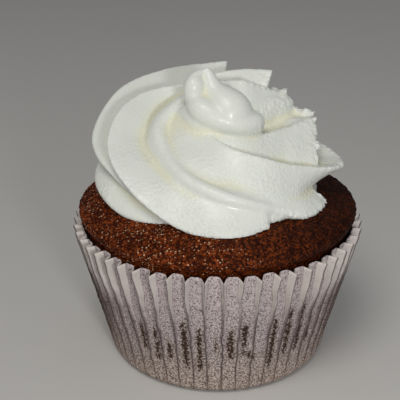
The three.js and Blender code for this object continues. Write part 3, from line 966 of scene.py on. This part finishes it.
class Surface:
    """The points of a mesh with what it takes to smooth them."""

    def __init__(self, mesh):
        self.points = rows_of(mesh.vertices, "co", 3, np.float32).astype(float)
        self.edges = rows_of(mesh.edges, "vertices", 2, np.int32)
        mesh.calc_loop_triangles()
        self.triangles = rows_of(mesh.loop_triangles, "vertices", 3, np.int32)
        self.degree = np.bincount(self.edges.ravel(), minlength=len(self.points))

    def gather(self, ends, values):
        """The sum of the values that end at each point."""
        total = [np.bincount(ends, values[:, k], len(self.points)) for k in range(values.shape[1])]
        return np.stack(total, 1)

    def pull(self, points):
        """From each point to the mean of its neighbours."""
        a, b = self.edges.T
        return (self.gather(a, points[b]) + self.gather(b, points[a])) / self.degree[:, None] - points

    def normals(self):
        """The outward direction at each point, weighted by the faces round it."""
        a, b, c = (self.points[self.triangles[:, k]] for k in range(3))
        across = np.cross(b - a, c - a)
        return unit(sum(self.gather(self.triangles[:, k], across) for k in range(3)))

    def fill_valleys(self, rounds, valley, crest):
        """Smooths the hollows by valley and the crests by crest, shares of each pull."""
        for _ in range(rounds):
            pull = self.pull(self.points)
            outward = (pull * self.normals()).sum(1)
            self.points += pull * np.where(outward > 0, valley, crest)[:, None]
            self.points[:, 2] = np.maximum(self.points[:, 2], 0)

    def hollows(self, rounds):
        """How far each point lies in a hollow, in millimetres; negative on a crest."""
        smooth = self.points.copy()
        for _ in range(rounds):
            smooth += 0.8 * self.pull(smooth)
        return ((smooth - self.points) * self.normals()).sum(1)


def tear(surface, ribs, depth, seed):
    """Drag streaks across the torn rib ends, small teeth along the crests near them, and a
    slight unevenness everywhere."""
    crest = np.clip(-surface.hollows(CREST_ROUNDS) / CREST_SCALE, 0, 1)
    marks = []
    for number, (rings, run, rag, serrate) in enumerate(ribs):
        for j in range(len(run)):
            if max(rag[j], serrate[j]) > LEAST_TORN:
                marks += [(p, number, run[j], rag[j], serrate[j]) for p in above_dome(rings[j])[::2]]
    tree = kdtree.KDTree(len(marks))
    for i, mark in enumerate(marks):
        tree.insert(mark[0], i)
    tree.balance()
    shift = np.zeros(len(surface.points))
    for i, p in enumerate(surface.points):
        place = Vector(p)
        shift[i] = UNEVEN_CREAM * noise.noise(place / 6 + Vector((seed, 0, 0)))
        _, found, gap = tree.find(place)
        if gap < TORN_REACH:
            _, number, run, rag, serrate = marks[found]
            at = Vector((run / 0.9, number * 7 + seed, 0.12 * place.z))
            streak = noise.noise(at) + 0.5 * noise.noise(at * 2.3)
            lump = noise.noise(place / 1.3 + Vector((0, seed, 0))) + 0.7 * noise.noise(place / 0.7)
            shift[i] += depth * rag * (0.9 * streak + 0.7 * lump) * (1 - gap / TORN_REACH)
            tooth = noise.noise(Vector((run / 0.8, number * 5, seed))) + 0.6 * noise.noise(place / 0.6)
            shift[i] += depth * serrate * crest[i] * (2.4 * tooth - 0.4)
    surface.points += surface.normals() * shift[:, None]


def cream_material(cream):
    """Whipped cream: fat and air, so it is white, satin and lit from within. The valleys get a
    warmer, yellower painted light, standing in for light bounced and scattered there."""
    material, tree = material_tree("Whipped cream")
    add = partial(add_node, tree)
    place = add("ShaderNodeTexCoord").outputs["Object"]
    hollow = add("ShaderNodeAttribute", attribute_name="hollow").outputs["Fac"]
    # Painted light: a warmer, yellower tint in the hollows, for light bounced and scattered there.
    cloud = add(NOISE, at={"Vector": place, "Scale": per(7), "Detail": 2.0})
    painted_valley_glow = add(RANGE, add(TIMES_PLUS, cloud, 0.3, hollow), 0.45, 1.2, 0.0, 1.0)
    base = add(MIX, painted_valley_glow, cream.crest, cream.valley)
    fine = add(NOISE, at={"Vector": place, "Scale": per(0.5), "Detail": 3.0, "Roughness": 0.7})
    gloss = add(RANGE, fine, 0.35, 0.65, 0.18, 0.45)
    # Small bubbles roughen it in patches, low down most of all. They are drawn coarser than
    # real ones, so that they show.
    height = add("ShaderNodeSeparateXYZ", place).outputs["Z"]
    patch = add(NOISE, at={"Vector": place, "Scale": per(9), "Detail": 1.0})
    patch = add(RANGE, patch, 0.42, 0.62, 0.1, 1.0)
    low = add(RANGE, height, 58 * MM, 42 * MM, 0.2, 1.0)
    patch = add(TIMES, patch, low)
    bubbles = add("ShaderNodeTexVoronoi", at={"Vector": place, "Scale": per(0.75)}).outputs["Distance"]
    bubbly = add(TIMES, add(PLUS, bubbles, fine), patch)
    relief = add("ShaderNodeBump", at={"Height": bubbly, "Strength": 1.0, "Distance": 0.2 * MM})
    surface = add("ShaderNodeBsdfPrincipled", at={
        "Base Color": base, "Normal": relief, "Roughness": gloss, "IOR": 1.45,
        "Subsurface Weight": 0.35, "Subsurface Radius": (1.1 * MM, 1.05 * MM, 0.95 * MM),
        "Subsurface Scale": 1.0,
    })
    add("ShaderNodeOutputMaterial", surface)
    return material


class OBJECT_OT_cream(bpy.types.Operator):
    """Builds the piped swirl: rope, ribs, tail and curl, fused into one skin"""

    bl_idname = "cupcake.cream"
    bl_label = "Cream swirl"

    def execute(self, context):
        cream = context.scene.cupcake_cream
        ribs = [rib_body(rib) for rib in RIBS]
        bodies = [rings for rings, *_ in ribs]
        bodies += [strand_body(ROPE, ROPE_RADIUS), strand_body(VALLEY_STRAND, VALLEY_STRAND_RADIUS)]
        bodies += [*map(lobe_body, LOBES), turned_rings(BED, BED_SIDES)]
        piece = fuse(bodies, cream.voxel / MM)
        drop_scraps(piece.data)
        surface = Surface(piece.data)
        surface.fill_valleys(cream.fill, VALLEY_PULL, CREST_PULL)
        tear(surface, ribs, cream.tear / MM, cream.seed)
        hollow = surface.hollows(VALLEY_ROUNDS) / VALLEY_SCALE
        points = surface.points
        points[:, 2] = np.maximum(points[:, 2], 0)
        points[:, 2] += dome_height(np.hypot(points[:, 0], points[:, 1])) + SEAT
        move_points(piece.data, np.clip(points * MM, *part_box("cream_swirl")))
        marks = piece.data.attributes.new("hollow", "FLOAT", "POINT")
        marks.data.foreach_set("value", np.clip(hollow, -1, 1).astype(np.float32))
        finish_piece(piece, cream_material(cream), "cream", "cream_swirl")
        return {"FINISHED"}


# --- stage ------------------------------------------------------------------------------
CAMERA_PLACE = (-3.609, -178.106, 113.983)  # in millimetres
CAMERA_TILT = 23.88  # degrees down from the level
CAMERA_ROLL = 0.25
CAMERA_LENS = 76.5
FLOOR_REACH = 3.0  # half its side, in metres
FLOOR_DROP = 0.02 * MM  # keeps its face clear of the case's underside
MIDDLE = (0, 0, 0.035)  # where the lights aim
# Each light: place and size in metres, and tint.
KEY_LIGHT = ((-0.12, -0.3, 0.56), 0.3, "#fffcf5")
FRONT_LIGHT = ((0.04, -0.2, 0.09), 0.03, "#ffffff")
SKY = "#f2f4f8"


def area_light(name, watts, place, size, tint):
    """A round soft light that aims at the middle of the cupcake."""
    light = bpy.data.lights.new(name, "AREA")
    light.shape = "DISK"
    light.size = size
    light.energy = watts
    light.color = linear(tint)[:3]
    lamp = bpy.data.objects.new(name, light)
    lamp.location = place
    lamp.rotation_euler = (Vector(MIDDLE) - Vector(place)).to_track_quat("-Z", "Y").to_euler()
    bpy.context.scene.collection.objects.link(lamp)


class OBJECT_OT_stage(bpy.types.Operator):
    """Sets the floor, the soft light and the camera"""

    bl_idname = "cupcake.stage"
    bl_label = "Stage"

    def execute(self, context):
        stage = context.scene.cupcake_stage
        corners = np.array([(-1, -1, 0), (1, -1, 0), (1, 1, 0), (-1, 1, 0)]) * FLOOR_REACH
        floor = mesh_object("floor", mesh_of("floor", corners - (0, 0, FLOOR_DROP), [(0, 1, 2, 3)]))
        material, tree = material_tree("Matt painted board")
        add = partial(add_node, tree)
        surface = add("ShaderNodeBsdfPrincipled", at={"Base Color": stage.floor, "Roughness": 0.9})
        add("ShaderNodeOutputMaterial", surface)
        floor.data.materials.append(material)
        area_light("key", stage.key, *KEY_LIGHT)
        area_light("front", stage.front, *FRONT_LIGHT)
        world = bpy.data.worlds.new("Soft studio light")
        world.use_nodes = True
        sky = world.node_tree.nodes["Background"].inputs
        sky["Color"].default_value = linear(SKY)
        sky["Strength"].default_value = stage.fill
        context.scene.world = world
        context.scene.view_settings.view_transform = "Standard"
        camera = bpy.data.objects.new("camera", bpy.data.cameras.new("camera"))
        camera.data.lens = CAMERA_LENS
        camera.data.sensor_width = 36
        camera.data.clip_start = 0.01
        camera.location = Vector(CAMERA_PLACE) * MM
        camera.rotation_mode = "XYZ"
        camera.rotation_euler = (math.radians(90 - CAMERA_TILT), math.radians(CAMERA_ROLL), 0)
        context.scene.collection.objects.link(camera)
        context.scene.camera = camera
        return {"FINISHED"}


# --- add-on -----------------------------------------------------------------------------
class VIEW3D_PT_cupcake(bpy.types.Panel):
    """Lists what the add-on builds"""

    bl_label = "Cupcake"
    bl_space_type = "VIEW_3D"
    bl_region_type = "UI"
    bl_category = "Cupcake"

    def draw(self, context):
        for operator in OPERATORS:
            self.layout.operator(operator.bl_idname)


SETTINGS = {
    "cupcake_case": PaperCaseSettings,
    "cupcake_sponge": SpongeSettings,
    "cupcake_cream": CreamSettings,
    "cupcake_stage": StageSettings,
}
OPERATORS = (OBJECT_OT_stage, OBJECT_OT_paper_case, OBJECT_OT_sponge, OBJECT_OT_cream)


def register():
    for cls in (*SETTINGS.values(), *OPERATORS, VIEW3D_PT_cupcake):
        bpy.utils.register_class(cls)
    for name, cls in SETTINGS.items():
        setattr(bpy.types.Scene, name, PointerProperty(type=cls))


def unregister():
    for name in SETTINGS:
        delattr(bpy.types.Scene, name)
    for cls in (VIEW3D_PT_cupcake, *reversed(OPERATORS), *SETTINGS.values()):
        bpy.utils.unregister_class(cls)


def main():
    register()
    bpy.ops.cupcake.stage()
    bpy.ops.cupcake.paper_case()
    bpy.ops.cupcake.sponge()
    bpy.ops.cupcake.cream()


if __name__ == "__main__":
    main()
